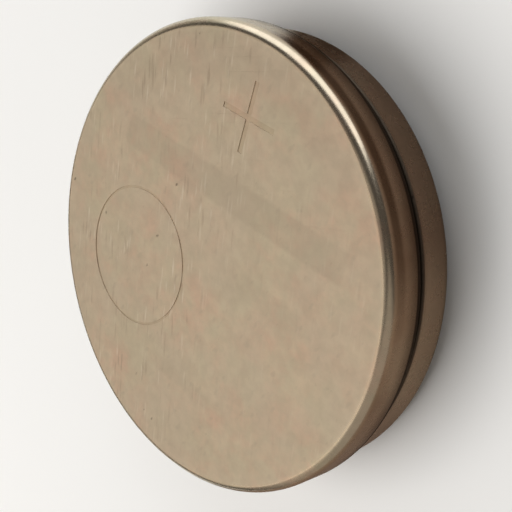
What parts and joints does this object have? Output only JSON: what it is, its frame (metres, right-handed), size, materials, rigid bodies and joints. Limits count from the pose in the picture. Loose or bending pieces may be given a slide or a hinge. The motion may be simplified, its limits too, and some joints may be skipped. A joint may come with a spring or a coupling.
{
  "type": "lithium coin cell",
  "caption": "Flat round lithium cell: a drawn steel can with a grooved side wall, crimped over a gasket and a raised negative cap, with the active discs inside.",
  "frame": {"origin": "middle of the negative terminal's flat face, which the cell lies on", "axes": "+Z along the cell's axis, from the negative terminal to the positive face; +Y along the upright line of the plus sign stamped in the positive face, away from the middle"},
  "size_m": [0.023, 0.023, 0.0054],
  "materials": {
    "can_steel": "satin nickel-plated steel, warm champagne tone with fine drawing streaks, small pits and light handling scratches",
    "cap_steel": "satin stainless steel with fine scratches from contact springs",
    "gasket_plastic": "dark moulded polypropylene, slightly waxy",
    "lithium_metal": "soft dull silver metal",
    "separator_fleece": "matt white non-woven fleece",
    "cathode_mix": "matt black pressed powder",
    "collector_steel": "plain thin stainless strip"
  },
  "bodies": {
    "root": {"positive_can": "can_steel", "negative_cap": "cap_steel", "sealing_gasket": "gasket_plastic", "lithium_anode": "lithium_metal", "separator": "separator_fleece", "cathode_pellet": "cathode_mix", "collector_ring": "collector_steel"}
  },
  "joints": []
}
